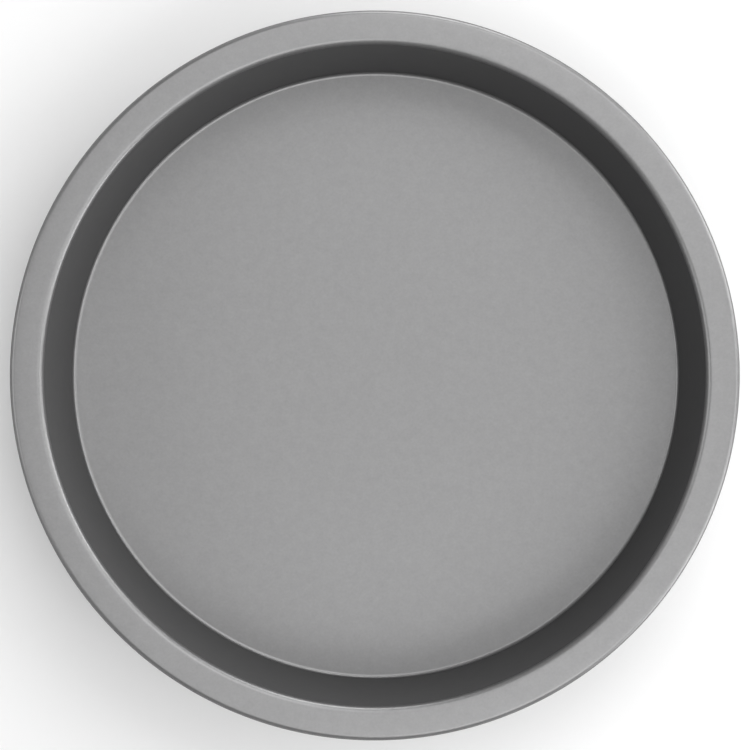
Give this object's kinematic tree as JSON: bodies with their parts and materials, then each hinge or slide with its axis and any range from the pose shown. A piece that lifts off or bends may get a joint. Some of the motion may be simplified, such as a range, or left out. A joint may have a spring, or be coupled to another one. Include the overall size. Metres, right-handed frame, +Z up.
{
  "type": "pet bathtub",
  "caption": "Round shallow bath pan for a small pet, with a flat floor, a steep drafted wall and a broad level rim whose edge is curled round a steel wire.",
  "frame": {"origin": "on the pan's axis, in the plane that the pan stands on", "axes": "+Z up along the pan's axis, out of its open mouth; +X and +Y are any two level directions, because the pan is round"},
  "size_m": [0.254, 0.254, 0.05],
  "materials": {
    "grey_coating": "satin",
    "rim_wire_steel": "satin"
  },
  "bodies": {
    "root": {"pan": "grey_coating", "rim_wire": "rim_wire_steel"}
  },
  "joints": []
}
